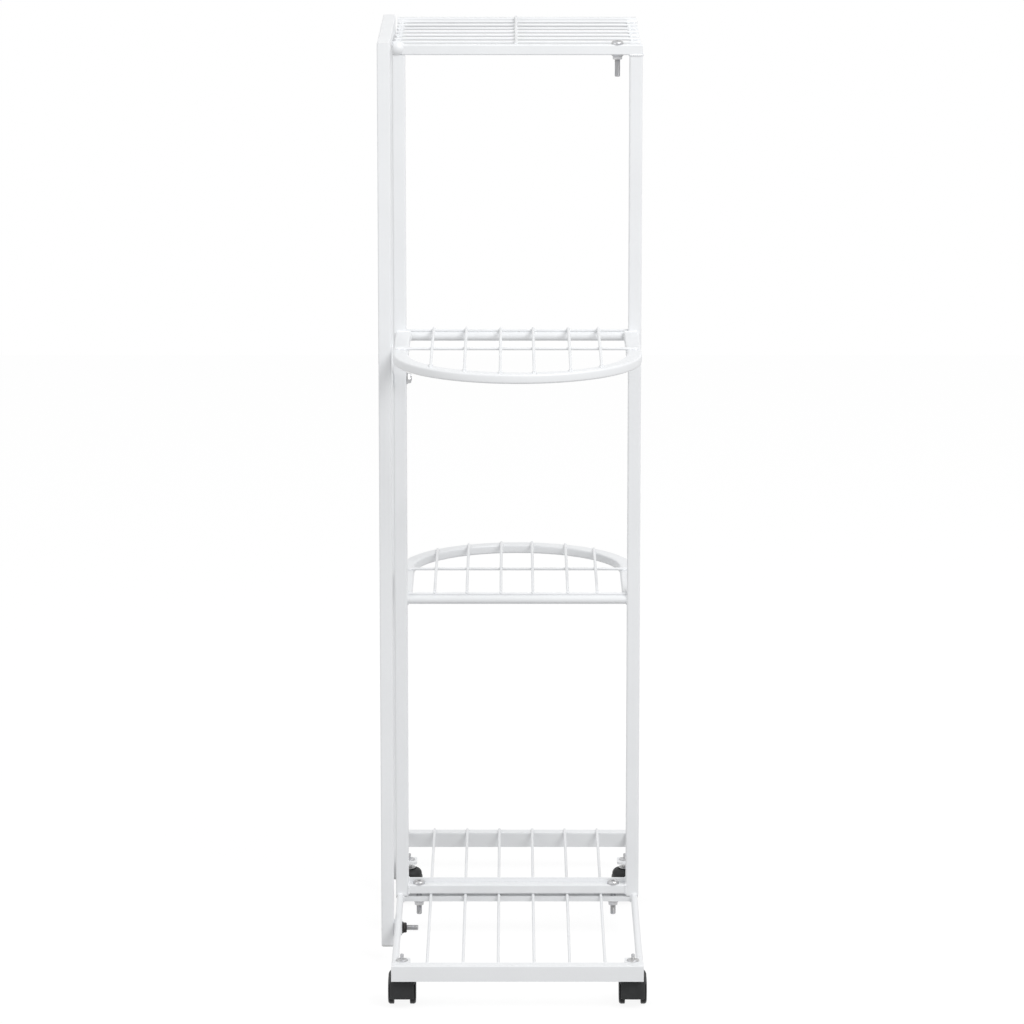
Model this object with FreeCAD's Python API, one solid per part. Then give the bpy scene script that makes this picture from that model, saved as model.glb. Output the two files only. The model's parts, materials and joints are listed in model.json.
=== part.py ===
import FreeCAD, Part
import os
import math

os.makedirs("parts", exist_ok=True)

V = FreeCAD.Vector

# ---------------------------------------------------------------- driving dimensions, mm
SHIFT_X = 4.35          # moves the working frame so that the bounding box is centred in X
SHIFT_Y = -2.0          # and in Y; Z is 0 on the floor under the wheels

WALL = 1.2              # tube wall
HALF_W = 108.2          # outer face of the posts
POST_W = 11.4
POST_D = 11.0
POST_Z0 = 38.4
POST_TOP = 791.0

BASE_Y = 220.0          # half length of the base
BASE_TOP = 40.0
ANGLE_H = 14.0
ANGLE_D = 10.0
ANGLE_T = 1.6
ANGLE_HALF = 107.5
REAR_Y0 = 214.0         # front face of the rear angle's wall
REAR_TOP = 38.1         # its flange, on which the deck wires lie
WIRE_ON_REAR = 8.0      # length of the deck wires on that flange
ROD_X = 104.4
ROD_R = 3.0
ROD_Z = 37.0
BASE_WIRE_R = 1.25
BASE_WIRE_Z = 38.95
BASE_WIRES_X = [-77.0, -46.3, -16.4, 14.2, 44.6, 74.7]
STRIP_HALF = 101.4
STRIP_Y0 = 0.0
STRIP_Y1 = 10.0
STRIP_Z0 = 33.3
STRIP_Z1 = 37.7

BAR_D = 10.0            # crossbars at the foot and under the top shelf
FOOT_BAR_Z0 = 40.2
FOOT_BAR_Z1 = 48.6
STIFF_T = 3.0
STIFF_Z1 = 52.0
BAR_INNER = 96.8        # inner faces of the posts

BOLT_R = 2.5
BOLT_HOLE_R = 2.6
BOLT_HEAD_R = 5.25
BOLT_HEAD_H = 3.0
BOLT_LEN = 28.0
BOLT_X_LEFT = -87.6
BOLT_X_RIGHT = 85.6
SHELF_BOLT_X = 86.4
BOLT_Y = 4.7
NUT_AF = 8.0
NUT_H = 4.0
FLANGE_R = 5.3
FLANGE_H = 1.0

# D shaped trays
HOOP_R = 106.0          # outer radius of the round end, so also the outer half width
HOOP_W = 13.0
HOOP_H = 8.0
HOOP_STRAIGHT = 107.0   # straight side, from the post face to the centre of the round end
TIER2_TOP = 313.6
TIER3_TOP = 549.3
BACK_BAR_R = 4.0
BACK_BAR_DROP = 5.0     # axis of the back bar below the hoop top
TRAY_WIRE_R = 1.25
TRAY_WIRES_X = [-72.8, -44.4, -14.4, 13.8, 44.5, 70.5]
TRAY_MID_Y = 92.5       # middle cross wire, from the post face
TRAY_MID_HALF = 103.5   # its half length, so its ends lie on the hoop
TRAY_END_IN = 5.0       # from the end of a depth wire to the outer edge of the hoop
CROSS_BITE = 0.45       # how far two crossing wires are pressed into each other
WIRE_BITE = 0.3         # how far a welded wire sinks into what carries it

# top shelf
SHELF_TOP = 800.0
SHELF_BAR_H = 9.0
SHELF_REAR_Y = 224.0
SHELF_RAIL_W = 9.0
SHELF_ROUND_R = 3.2
SHELF_RAIL_H = 5.0
SHELF_WIRE_R = 1.25
SHELF_WIRE_TOP = 799.6
SHELF_WIRE_HALF = 107.2
SHELF_WIRE_Y0 = 31.0
SHELF_WIRE_STEP = 27.5
SHELF_WIRE_N = 7
SHELF_MID_Y0 = 6.0      # ends of the middle wire, on the front and the rear bar
SHELF_MID_Y1 = 219.0
SHELF_MID_X = -1.1
SHELF_RIGHT = 107.7     # outer face of the right rail
BALL_R = 6.8
BALL_X = -103.9
BALL_Y = 3.5
BALL_Z = 796.7
BALL_FLAT_X = -108.1    # the ball is flat where it meets the side panel

# side panel
PANEL_X0 = -119.2
PANEL_X1 = -108.2
PANEL_W = 11.0
PANEL_NEAR_Y0 = -80.5
PANEL_FAR_Y1 = 145.5
PANEL_TOP = 810.5
PANEL_FOOT = 15.0
PANEL_RAIL_Z = 506.9
LOW_BOLT_Y = -75.0
LOW_BOLT_Z = 31.2
HIGH_BOLT_Y = 5.5
PANEL_BOLT_TIP = -87.0
PANEL_HIGH_TIP = -92.3  # the screw in the middle rail is shorter
LUG_X = -101.1          # inner face of the lug that takes the lower screw

# casters
STEM_X = 98.6
STEM_YS = {"f": -204.0, "r": 114.0}
STEM_R = 2.0
STEM_Z0 = 19.6
PIN_R = 1.6             # the stem above its tab
STEM_TOP = 46.0
SEAT_R = 5.8            # collar of the stem that lies over the hood
RETAINER_R = 5.2        # round push-on retainer on the tab
RETAINER_H = 1.2
TAB_Z0 = 37.7
TAB_Z1 = 40.0
TRAIL = 7.0
WHEEL_R = 12.4
WHEEL_X0 = 6.7
WHEEL_X1 = 11.9
HOOD_R = 13.6
HOOD_HALF = 8.8         # half width of the front skirt, which leaves the wheels' outer edges free
FENDER_HALF = 10.9
HOOD_WEB = 6.4
HOOD_GAP = 0.3          # between a wheel and the hood over it
HOOD_Z1 = 32.3
HOOD_Z0 = 8.5
DOME_R = 11.5
DOME_ROUND = 5.0
SKIRT_Z1 = 20.0         # the dome is full width above this height
AXLE_R = 1.5
AXLE_HALF = 10.6
AXLE_BORE_R = 1.55
STEM_BORE_R = 2.05


# ---------------------------------------------------------------- helpers
def box(x0, x1, y0, y1, z0, z1):
    return Part.makeBox(x1 - x0, y1 - y0, z1 - z0, V(x0, y0, z0))


def cyl(x, y, z, r, h, d=(0, 0, 1)):
    return Part.makeCylinder(r, h, V(x, y, z), V(*d))


def along(shape, axis):
    """edges of a box that run along one axis"""
    out = []
    for e in shape.Edges:
        a = e.Vertexes[0].Point
        b = e.Vertexes[-1].Point
        v = (abs(b.x - a.x), abs(b.y - a.y), abs(b.z - a.z))
        k = "xyz".index(axis)
        if v[k] > 1e-6 and sum(v) - v[k] < 1e-6:
            out.append(e)
    return out


def bar(x0, x1, y0, y1, z0, z1, axis, r=1.2, wall=WALL, close0=0.0, close1=0.0):
    """rounded rectangular tube along one axis, hollow unless wall is 0"""
    s = box(x0, x1, y0, y1, z0, z1)
    s = s.makeFillet(r, along(s, axis))
    if wall > 0:
        lo = [x0 + wall, y0 + wall, z0 + wall]
        hi = [x1 - wall, y1 - wall, z1 - wall]
        k = "xyz".index(axis)
        lo[k] = (x0, y0, z0)[k] + (close0 if close0 > 0 else -1.0)
        hi[k] = (x1, y1, z1)[k] - (close1 if close1 > 0 else -1.0)
        s = s.cut(box(lo[0], hi[0], lo[1], hi[1], lo[2], hi[2]))
    return s


def hexagon(x, y, z, af, h, d=(0, 0, 1)):
    """hexagonal prism with its base at the point and its axis along d"""
    r = af / math.sqrt(3.0)
    pts = []
    for i in range(7):
        a = math.radians(60.0 * i + 30.0)
        pts.append(V(r * math.cos(a), r * math.sin(a), 0))
    p = Part.Face(Part.makePolygon(pts)).extrude(V(0, 0, h))
    c = Part.makeCone(r + 0.9, r - 0.25, h, V(0, 0, 0), V(0, 0, 1))
    p = p.common(c)
    p.Placement = FreeCAD.Placement(V(x, y, z), FreeCAD.Rotation(V(0, 0, 1), V(*d)))
    return p


def flange_nut(x, y, z, d, bore, af=NUT_AF, h=NUT_H):
    """flange nut seated on the point, growing along d"""
    n = hexagon(x, y, z, af, h, d)
    f = cyl(x, y, z, FLANGE_R, FLANGE_H, d)
    n = n.fuse(f).removeSplitter()
    back = V(*d) * -1.0
    return n.cut(cyl(x + back.x, y + back.y, z + back.z, bore, h + 2.0, d))


def screw(x, y, z, d, length, head_r=BOLT_HEAD_R, head_h=BOLT_HEAD_H):
    """button head screw: head above the seat point, shank along d"""
    back = V(*d) * -1.0
    head = cyl(x, y, z, head_r, head_h, (back.x, back.y, back.z))
    top = [e for e in head.Edges if abs((e.CenterOfMass - V(x, y, z)).Length - head_h) < 1e-6]
    head = head.makeFillet(1.3, top)
    socket = hexagon(x + back.x * (head_h - 1.5), y + back.y * (head_h - 1.5),
                     z + back.z * (head_h - 1.5), 3.0, 3.0, (back.x, back.y, back.z))
    head = head.cut(socket)
    shank = cyl(x, y, z, BOLT_R, length, d)
    tip = [e for e in shank.Edges
           if abs((e.CenterOfMass - V(x, y, z)).Length - length) < 1e-6]
    shank = shank.makeChamfer(0.5, tip)
    return head.fuse(shank).removeSplitter()


def csk_screw(x, y, z, length):
    """countersunk screw, face flush at the point, along +X"""
    head = Part.makeCone(4.9, 2.5, 2.4, V(x, y, z), V(1, 0, 0))
    shank = cyl(x, y, z, BOLT_R, length, (1, 0, 0))
    tip = [e for e in shank.Edges if abs(e.CenterOfMass.x - (x + length)) < 1e-6]
    shank = shank.makeChamfer(0.5, tip)
    socket = hexagon(x - 1.0, y, z, 3.0, 2.6, (1, 0, 0))
    return head.fuse(shank).removeSplitter().cut(socket)


def d_outline(r, straight, back, y0, sign, z):
    """closed D outline in a horizontal plane: two straight sides and a half circle.

    The sides start back mm behind the post face at y0; sign +1 reaches toward +Y."""
    def p(x, y):
        return V(x, y0 + sign * y, z)
    e = [
        Part.makeLine(p(-r, -back), p(-r, straight)),
        Part.Arc(p(-r, straight), p(0, straight + r), p(r, straight)).toShape(),
        Part.makeLine(p(r, straight), p(r, -back)),
        Part.makeLine(p(r, -back), p(-r, -back)),
    ]
    return Part.Face(Part.Wire(e))


def hoop(y0, sign, top):
    """bent D tube: outer plate less inner plate, long edges rounded, hollow along its run"""
    z0 = top - HOOP_H
    outer = d_outline(HOOP_R, HOOP_STRAIGHT, 0.0, y0, sign, z0).extrude(V(0, 0, HOOP_H))
    inner = d_outline(HOOP_R - HOOP_W, HOOP_STRAIGHT, 1.0, y0, sign, z0 - 1.0)
    s = outer.cut(inner.extrude(V(0, 0, HOOP_H + 2.0)))
    edges = []
    for e in s.Edges:
        zs = [v.Point.z for v in e.Vertexes]
        ys = [abs(v.Point.y - y0) for v in e.Vertexes]
        flat = max(zs) - min(zs) < 1e-6
        at_post = max(ys) < 1e-6
        if flat and not at_post:
            edges.append(e)
    s = s.makeFillet(1.8, edges)
    a = d_outline(HOOP_R - WALL, HOOP_STRAIGHT, 1.0, y0, sign, z0 + WALL)
    a = a.extrude(V(0, 0, HOOP_H - 2 * WALL))
    b = d_outline(HOOP_R - HOOP_W + WALL, HOOP_STRAIGHT, 1.0, y0, sign, z0)
    b = b.extrude(V(0, 0, HOOP_H))
    return s.cut(a.cut(b))


def wire_reach(x):
    """distance from the post face to the end of the depth wire at one X"""
    r = HOOP_R - TRAY_END_IN
    return HOOP_STRAIGHT + math.sqrt(r * r - x * x)


def bent_wire(x, y0, sign, length, z0, z1, z2):
    """one wire sprung over the middle cross wire: an arc through three heights"""
    mid = TRAY_MID_Y + POST_D / 2.0
    arc = Part.Arc(V(x, y0, z0), V(x, y0 + sign * mid, z1), V(x, y0 + sign * length, z2))
    path = Part.Wire([arc.toShape()])
    ring = Part.Circle(V(x, y0, z0), path.Edges[0].tangentAt(path.Edges[0].FirstParameter),
                       TRAY_WIRE_R)
    return path.makePipeShell([Part.Wire([ring.toShape()])], True, False)


def fuse_all(shapes):
    s = shapes[0].multiFuse(shapes[1:])
    return s.removeSplitter()


def tray_wires(y0, sign, top):
    """wires of one D tray: six depth wires over a cross wire on the back bar and one midway"""
    r = TRAY_WIRE_R
    back_y = y0 - sign * POST_D / 2.0
    z_back = top - BACK_BAR_DROP + BACK_BAR_R + r - WIRE_BITE
    z_mid = top + r - WIRE_BITE
    lift = 2.0 * r - CROSS_BITE
    back = cyl(-BAR_INNER, back_y, z_back, r, 2 * BAR_INNER, (1, 0, 0))
    mid = cyl(-TRAY_MID_HALF, y0 + sign * TRAY_MID_Y, z_mid, r, 2 * TRAY_MID_HALF, (1, 0, 0))
    depth = []
    for x in TRAY_WIRES_X:
        length = wire_reach(x) + POST_D / 2.0
        wire = bent_wire(x, back_y, sign, length, z_back + lift, z_mid + lift, z_mid)
        mid = mid.cut(wire)
        back = back.cut(wire)
        depth.append(wire)
    return depth, [back, mid]


def place(shape):
    s = shape.copy()
    s.translate(V(SHIFT_X, SHIFT_Y, 0))
    return s


nodes = {}


def node(name, *solids):
    nodes[name] = list(solids)


# ---------------------------------------------------------------- base frame
def angle(y_out, y_in, top_z):
    """L section along X with its wall at y_out and its flange reaching to y_in"""
    inward = 1.0 if y_in > y_out else -1.0
    y_wall = y_out + inward * ANGLE_T
    top = box(-ANGLE_HALF, ANGLE_HALF, min(y_out, y_in), max(y_out, y_in),
              top_z - ANGLE_T, top_z)
    wall = box(-ANGLE_HALF, ANGLE_HALF, min(y_out, y_wall), max(y_out, y_wall),
               top_z - ANGLE_H, top_z)
    s = top.fuse(wall).removeSplitter()
    corner = [e for e in along(s, "x")
              if abs(e.CenterOfMass.y - y_out) < 1e-6 and abs(e.CenterOfMass.z - top_z) < 1e-6]
    return s.makeFillet(1.2, corner)


front_angle = angle(-BASE_Y, -BASE_Y + ANGLE_D, BASE_TOP)
rear_angle = angle(REAR_Y0, REAR_Y0 + ANGLE_D, REAR_TOP)
node("base_front_angle", front_angle)
node("base_rear_angle", rear_angle)

rods = []
for sx in (-1, 1):
    rod = cyl(sx * ROD_X, -BASE_Y + ANGLE_T, ROD_Z, ROD_R, BASE_Y - ANGLE_T + REAR_Y0, (0, 1, 0))
    rods.append(rod.cut(front_angle).cut(rear_angle))
node("base_side_rod_left", rods[0])
node("base_side_rod_right", rods[1])

wires = []
for x in BASE_WIRES_X:
    wire = cyl(x, -(BASE_Y - ANGLE_D), BASE_WIRE_Z, BASE_WIRE_R,
               BASE_Y - ANGLE_D + REAR_Y0 + WIRE_ON_REAR, (0, 1, 0))
    wires.append(wire.cut(rear_angle))
node("base_deck_wires", *wires)

strip = box(-STRIP_HALF, STRIP_HALF, STRIP_Y0, STRIP_Y1, STRIP_Z0, STRIP_Z1)
foot_bar = bar(-BAR_INNER, BAR_INNER, 0, BAR_D, FOOT_BAR_Z0, FOOT_BAR_Z1, "x")
stiff = box(-BAR_INNER, BAR_INNER, BAR_D, BAR_D + STIFF_T, FOOT_BAR_Z0, STIFF_Z1)
for x in (BOLT_X_LEFT, BOLT_X_RIGHT):
    hole = cyl(x, BOLT_Y, STRIP_Z0 - 2.0, BOLT_HOLE_R, FOOT_BAR_Z1 - STRIP_Z0 + 4.0)
    strip = strip.cut(hole)
    foot_bar = foot_bar.cut(hole)
node("base_cross_strip", strip)
node("foot_crossbar", foot_bar)
node("foot_stiffener", stiff)

node("foot_bolts",
     *[screw(x, BOLT_Y, FOOT_BAR_Z1, (0, 0, -1), BOLT_LEN) for x in (BOLT_X_LEFT, BOLT_X_RIGHT)])
node("foot_nuts",
     *[flange_nut(x, BOLT_Y, STRIP_Z0, (0, 0, -1), BOLT_R) for x in (BOLT_X_LEFT, BOLT_X_RIGHT)])

# ---------------------------------------------------------------- posts
high_hole = cyl(-125.0, HIGH_BOLT_Y, PANEL_RAIL_Z, BOLT_HOLE_R, 40.0, (1, 0, 0))
ball = Part.makeSphere(BALL_R, V(BALL_X, BALL_Y, BALL_Z))
ball = ball.cut(box(BALL_FLAT_X - 20.0, BALL_FLAT_X, -20.0, 30.0, BALL_Z - 20.0, BALL_Z + 20.0))
for name, x0 in (("post_left", -HALF_W), ("post_right", HALF_W - POST_W)):
    p = bar(x0, x0 + POST_W, 0, POST_D, POST_Z0, POST_TOP, "z", r=1.5, close1=WALL)
    for rod in rods:
        p = p.cut(rod)
    if x0 < 0:
        p = p.cut(high_hole).cut(ball)
    node(name, p)

# ---------------------------------------------------------------- D trays
for tier, y0, sign, top in (("tier2", POST_D, 1, TIER2_TOP), ("tier3", 0.0, -1, TIER3_TOP)):
    node(tier + "_hoop", hoop(y0, sign, top))
    zc = top - BACK_BAR_DROP
    yc = POST_D / 2.0
    rod = cyl(-BAR_INNER, yc, zc, BACK_BAR_R, 2 * BAR_INNER, (1, 0, 0))
    depth, cross = tray_wires(y0, sign, top)
    # the wires bite into the back bar and the hoop where they are welded
    ring = nodes[tier + "_hoop"][0]
    for wire in depth + cross:
        rod = rod.cut(wire)
        ring = ring.cut(wire)
    node(tier + "_back_bar", rod)
    node(tier + "_hoop", ring)
    node(tier + "_depth_wires", *depth)
    node(tier + "_cross_wires", *cross)

# ---------------------------------------------------------------- top shelf
zs0 = SHELF_TOP - SHELF_BAR_H
shelf_bar = bar(BALL_X + 4.0, HALF_W, 0, BAR_D, zs0, SHELF_TOP, "x", close1=WALL)
shelf_bar = shelf_bar.cut(ball)
hole = cyl(SHELF_BOLT_X, BOLT_Y, zs0 - 2.0, BOLT_HOLE_R, SHELF_BAR_H + 4.0)
shelf_bar = shelf_bar.cut(hole)
node("shelf_front_bar", shelf_bar)
rear_y0 = SHELF_REAR_Y - SHELF_RAIL_W
rear_bar = bar(-HALF_W, SHELF_RIGHT, rear_y0, SHELF_REAR_Y, zs0, SHELF_TOP, "x",
               close0=WALL, close1=WALL)
rail_top = SHELF_WIRE_TOP - 2 * SHELF_WIRE_R + WIRE_BITE
right_rail = bar(SHELF_RIGHT - SHELF_RAIL_W, SHELF_RIGHT, BAR_D, rear_y0,
                 rail_top - SHELF_RAIL_H, rail_top, "y", r=1.0, wall=0)
left_rail = cyl(BALL_X, BALL_Y, rail_top - SHELF_ROUND_R, SHELF_ROUND_R, rear_y0 - BALL_Y, (0, 1, 0))
left_rail = left_rail.cut(ball)
node("shelf_rear_bar", rear_bar)
node("shelf_right_rail", right_rail)
node("shelf_left_rail", left_rail)
node("shelf_corner_ball", ball)
wire_z = SHELF_WIRE_TOP - SHELF_WIRE_R
middle_wire = cyl(SHELF_MID_X, SHELF_MID_Y0, wire_z + 2 * SHELF_WIRE_R - CROSS_BITE, SHELF_WIRE_R,
                  SHELF_MID_Y1 - SHELF_MID_Y0, (0, 1, 0))
middle_wire = middle_wire.cut(shelf_bar).cut(rear_bar)
shelf_wires = []
for i in range(SHELF_WIRE_N):
    y = SHELF_WIRE_Y0 + SHELF_WIRE_STEP * i
    wire = cyl(-SHELF_WIRE_HALF, y, wire_z, SHELF_WIRE_R, 2 * SHELF_WIRE_HALF, (1, 0, 0))
    middle_wire = middle_wire.cut(wire)
    shelf_wires.append(wire.cut(left_rail).cut(right_rail))
node("shelf_cross_wires", *shelf_wires)
node("shelf_middle_wire", middle_wire)
node("shelf_bolt", screw(SHELF_BOLT_X, BOLT_Y, SHELF_TOP, (0, 0, -1), BOLT_LEN))
node("shelf_nut", flange_nut(SHELF_BOLT_X, BOLT_Y, zs0, (0, 0, -1), BOLT_R))

# ---------------------------------------------------------------- side panel
near_y1 = PANEL_NEAR_Y0 + PANEL_W
far_y0 = PANEL_FAR_Y1 - PANEL_W
under = PANEL_TOP - PANEL_W
low_hole = cyl(-125.0, LOW_BOLT_Y, LOW_BOLT_Z, BOLT_HOLE_R, 40.0, (1, 0, 0))
csk_cut = []
for y, z in ((LOW_BOLT_Y, LOW_BOLT_Z), (HIGH_BOLT_Y, PANEL_RAIL_Z)):
    csk_cut.append(Part.makeCone(4.9, 2.5, 2.4, V(PANEL_X0, y, z), V(1, 0, 0)))


def mitre(y_out, y_in, above):
    """prism on one side of the plane through the outer top and the inner lower edge"""
    d = 5.0 if y_in > y_out else -5.0
    ends = [V(PANEL_X0 - 5, y_out - d, PANEL_TOP + 5), V(PANEL_X0 - 5, y_in + d, under - 5)]
    if above:
        ends.append(V(PANEL_X0 - 5, y_in + d, PANEL_TOP + 5))
    else:
        ends.append(V(PANEL_X0 - 5, y_out - d, under - 5))
    return Part.Face(Part.makePolygon(ends + ends[:1])).extrude(V(PANEL_W + 10, 0, 0))


near_leg = bar(PANEL_X0, PANEL_X1, PANEL_NEAR_Y0, near_y1, PANEL_FOOT + 2.0, PANEL_TOP, "z", r=1.3)
near_leg = near_leg.cut(low_hole).cut(csk_cut[0]).cut(mitre(PANEL_NEAR_Y0, near_y1, True))
far_leg = bar(PANEL_X0, PANEL_X1, far_y0, PANEL_FAR_Y1, PANEL_FOOT + 2.0, PANEL_TOP, "z", r=1.3)
far_leg = far_leg.cut(mitre(PANEL_FAR_Y1, far_y0, True))
top_tube = bar(PANEL_X0, PANEL_X1, PANEL_NEAR_Y0, PANEL_FAR_Y1, under, PANEL_TOP, "y", r=1.3)
top_tube = top_tube.cut(mitre(PANEL_NEAR_Y0, near_y1, False))
top_tube = top_tube.cut(mitre(PANEL_FAR_Y1, far_y0, False))
mid_rail = bar(PANEL_X0, PANEL_X1, near_y1, far_y0, PANEL_RAIL_Z - PANEL_W / 2.0,
               PANEL_RAIL_Z + PANEL_W / 2.0, "y", r=1.3)
mid_rail = mid_rail.cut(high_hole).cut(csk_cut[1])
node("panel_near_leg", near_leg)
node("panel_far_leg", far_leg)
node("panel_top_tube", top_tube)
node("panel_mid_rail", mid_rail)


def foot_plug(y0, y1):
    """plastic end plug: a flat foot under the tube and a spigot inside it"""
    foot = box(PANEL_X0, PANEL_X1, y0, y1, PANEL_FOOT, PANEL_FOOT + 2.0)
    foot = foot.makeFillet(1.3, along(foot, "z"))
    g = WALL + 0.02
    spigot = box(PANEL_X0 + g, PANEL_X1 - g, y0 + g, y1 - g, PANEL_FOOT + 1.0, PANEL_FOOT + 9.0)
    return foot.fuse(spigot).removeSplitter()


node("panel_foot_plugs", foot_plug(PANEL_NEAR_Y0, near_y1), foot_plug(far_y0, PANEL_FAR_Y1))

lug = box(PANEL_X1, LUG_X, LOW_BOLT_Y - 6.0, LOW_BOLT_Y + 6.0, 25.4, ROD_Z)
lug = lug.makeFillet(2.0, [e for e in along(lug, "x") if e.CenterOfMass.z < 26.0])
for rod in rods:
    lug = lug.cut(rod)
lug = lug.cut(low_hole)
lug = max(lug.Solids, key=lambda q: q.Volume)
node("panel_lower_lug", lug)

low_len = PANEL_BOLT_TIP - PANEL_X0
node("panel_screws",
     csk_screw(PANEL_X0, LOW_BOLT_Y, LOW_BOLT_Z, low_len),
     csk_screw(PANEL_X0, HIGH_BOLT_Y, PANEL_RAIL_Z, PANEL_HIGH_TIP - PANEL_X0))
node("panel_nuts",
     flange_nut(LUG_X, LOW_BOLT_Y, LOW_BOLT_Z, (1, 0, 0), BOLT_R),
     flange_nut(-BAR_INNER, HIGH_BOLT_Y, PANEL_RAIL_Z, (1, 0, 0), BOLT_R))

# ---------------------------------------------------------------- casters
tabs = []
stems = []
retainers = []
for row, ys in STEM_YS.items():
    for sx in (-1, 1):
        x = sx * STEM_X
        xa, xb = sorted((sx * 91.4, sx * ROD_X))
        y_lo = -(BASE_Y - ANGLE_D) if row == "f" else ys - 9.0
        tab = box(xa, xb, y_lo, ys + 9.0, TAB_Z0, TAB_Z1)
        inner = [e for e in along(tab, "z") if abs(abs(e.CenterOfMass.x) - 91.4) < 1e-6]
        tab = tab.makeFillet(3.0, inner)
        for rod in rods:
            tab = tab.cut(rod)
        tab = tab.cut(cyl(x, ys, TAB_Z0 - 1.0, PIN_R, 6.0))
        tab = max(tab.Solids, key=lambda q: q.Volume)
        tabs.append(tab)
        stem = cyl(x, ys, STEM_Z0, STEM_R, HOOD_Z1 + 2.0 - STEM_Z0)
        pin = cyl(x, ys, HOOD_Z1 + 1.0, PIN_R, STEM_TOP - HOOD_Z1 - 1.0)
        pin = pin.makeChamfer(0.5, [e for e in pin.Edges if abs(e.CenterOfMass.z - STEM_TOP) < 1e-6])
        seat = cyl(x, ys, HOOD_Z1 + 0.4, SEAT_R, 1.0)
        neck = cyl(x, ys, HOOD_Z1 + 1.0, 2.6, TAB_Z0 - HOOD_Z1 - 1.0)
        stems.append(fuse_all([stem, pin, seat, neck]))
        disc = cyl(x, ys, TAB_Z1, RETAINER_R, RETAINER_H)
        disc = disc.makeFillet(0.5, [e for e in disc.Edges
                                     if abs(e.CenterOfMass.z - TAB_Z1 - RETAINER_H) < 1e-6])
        disc = disc.fuse(cyl(x, ys, TAB_Z1, 2.7, RETAINER_H + 0.6)).removeSplitter()
        retainers.append(disc.cut(cyl(x, ys, TAB_Z1 - 1.0, PIN_R, 6.0)))
node("caster_tabs", *tabs)
node("caster_stems", *stems)
node("caster_retainers", *retainers)


def sector(r, x0, x1, y, z, a0, a1):
    """solid wedge of a disc with its axis along X, angles from +Y toward +Z, degrees"""
    pts = [V(x0, y, z)]
    n = 24
    for i in range(n + 1):
        a = math.radians(a0 + (a1 - a0) * i / n)
        pts.append(V(x0, y + r * math.cos(a), z + r * math.sin(a)))
    pts.append(V(x0, y, z))
    return Part.Face(Part.makePolygon(pts)).extrude(V(x1 - x0, 0, 0))


def hood(x, ys):
    ya = ys + TRAIL
    za = WHEEL_R
    web = cyl(x - HOOD_WEB, ya, za, HOOD_R, 2 * HOOD_WEB, (1, 0, 0))
    web = web.common(box(x - 20, x + 20, ya - 20, ya + 20, HOOD_Z0, 60))
    fender = cyl(x - FENDER_HALF, ya, za, HOOD_R, 2 * FENDER_HALF, (1, 0, 0))
    fender = fender.common(sector(HOOD_R + 8.0, x - 20, x + 20, ya, za, 20.0, 135.0))
    dome = cyl(x, ys, HOOD_Z0, DOME_R, HOOD_Z1 - HOOD_Z0)
    dome = dome.makeFillet(DOME_ROUND,
                           [e for e in dome.Edges if abs(e.CenterOfMass.z - HOOD_Z1) < 1e-6])
    for a, b in ((-20.0, -HOOD_HALF), (HOOD_HALF, 20.0)):
        dome = dome.cut(box(x + a, x + b, ys - 20, ys + 20, 0, SKIRT_Z1))
    s = fuse_all([web, fender, dome])
    for sx in (-1, 1):
        a, b = sorted((x + sx * HOOD_WEB, x + sx * 14.0))
        s = s.cut(cyl(a, ya, za, WHEEL_R + HOOD_GAP, b - a, (1, 0, 0)))
    s = s.cut(cyl(x - 20, ya, za, AXLE_R, 40, (1, 0, 0)))
    s = s.cut(cyl(x, ys, STEM_Z0 - 0.4, STEM_BORE_R, 30))
    return max(s.Solids, key=lambda q: q.Volume)


def wheel(x, ys, sx):
    ya = ys + TRAIL
    za = WHEEL_R
    d = (sx, 0, 0)
    s = cyl(x + sx * WHEEL_X0, ya, za, WHEEL_R, WHEEL_X1 - WHEEL_X0, d)
    outer = [e for e in s.Edges if abs(e.CenterOfMass.x - (x + sx * WHEEL_X1)) < 1e-6]
    s = s.makeFillet(2.2, outer)
    inner = [e for e in s.Edges if abs(e.CenterOfMass.x - (x + sx * WHEEL_X0)) < 1e-6]
    s = s.makeFillet(0.6, [e for e in inner if e.Curve.Radius > WHEEL_R - 1e-6])
    dish = cyl(x + sx * (WHEEL_X1 - 0.8), ya, za, 8.6, 2.0, d)
    s = s.cut(dish)
    s = s.fuse(cyl(x + sx * (WHEEL_X1 - 1.5), ya, za, 3.2, 1.5, d)).removeSplitter()
    bore = cyl(x + sx * (WHEEL_X0 - 2.0), ya, za, AXLE_BORE_R, WHEEL_X1 - WHEEL_X0 + 1.0, d)
    return s.cut(bore)


for row, ys in STEM_YS.items():
    for side, sx in (("l", -1), ("r", 1)):
        x = sx * STEM_X
        tag = "caster_" + row + side
        node(tag + "_hood", hood(x, ys))
        node(tag + "_axle", cyl(x - AXLE_HALF, ys + TRAIL, WHEEL_R, AXLE_R, 2 * AXLE_HALF, (1, 0, 0)))
        node(tag + "_wheel_l", wheel(x, ys, -1))
        node(tag + "_wheel_r", wheel(x, ys, 1))

# ---------------------------------------------------------------- export
total = 0.0
for name, solids in nodes.items():
    out = [place(s) for s in solids]
    shape = out[0] if len(out) == 1 else Part.makeCompound(out)
    for s in shape.Solids:
        if not s.isValid() or s.Volume <= 0:
            print("bad solid in", name)
    if len(out) == 1 and len(shape.Solids) != 1:
        print("node", name, "has", len(shape.Solids), "solids")
    total += shape.Volume
    shape.exportStep("parts/" + name + ".step")
print(len(nodes), "nodes, volume", round(total / 1000.0, 1), "cm3")
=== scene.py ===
"""Flower cart stand: finishes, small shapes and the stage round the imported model.

All lengths are metres in the model's own frame: +Z up, the floor at Z 0, the side that the
photograph shows toward -Y. Each shape function gives its formula in words.
"""

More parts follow.
